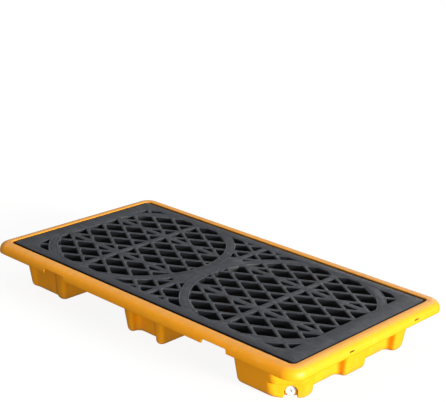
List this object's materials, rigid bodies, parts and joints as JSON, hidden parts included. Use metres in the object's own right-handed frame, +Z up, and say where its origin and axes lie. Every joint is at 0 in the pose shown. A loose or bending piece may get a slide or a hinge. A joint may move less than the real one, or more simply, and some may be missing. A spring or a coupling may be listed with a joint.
{
  "type": "spill containment pallet",
  "caption": "Low moulded spill tray on skids with fork channels between them, a lift-out diamond-lattice deck with drum rings, and a screwed corner drain plug.",
  "frame": {"origin": "middle of the footprint, on the floor under the skids", "axes": "+X along the long side, +Z up; the drain plug is at the +X, -Y corner and points out along +X -Y"},
  "size_m": [1.3, 0.69, 0.15],
  "materials": {
    "tray_yellow": "satin moulded polyethylene, warm yellow",
    "deck_black": "matt moulded polyethylene, dark grey",
    "bush_brass": "turned, dull",
    "gasket_rubber": "matt",
    "plug_white": "satin"
  },
  "bodies": {
    "tray": {"sump": "tray_yellow", "drain_bush": "bush_brass"},
    "deck": {"deck_grating": "deck_black"},
    "seal": {"drain_gasket": "gasket_rubber"},
    "plug": {"drain_plug": "plug_white"}
  },
  "joints": [
    {"name": "deck_lift", "type": "slide", "parent": "tray", "child": "deck", "axis": [0, 0, 1], "range_m": [0, 0.25]},
    {"name": "plug_travel", "type": "slide", "parent": "tray", "child": "seal", "axis": [0.7071, -0.7071, 0], "range_m": [0, 0.0164]},
    {"name": "plug_turn", "type": "hinge", "parent": "seal", "child": "plug", "pos_m": [0.54787, -0.23297, 0.0185], "axis": [0.7071, -0.7071, 0], "range_deg": [0, 3240]}
  ],
  "couplings": [
    {"joint": "plug_travel", "follows": "plug_turn", "m_per_rad": 0.00028871}
  ]
}
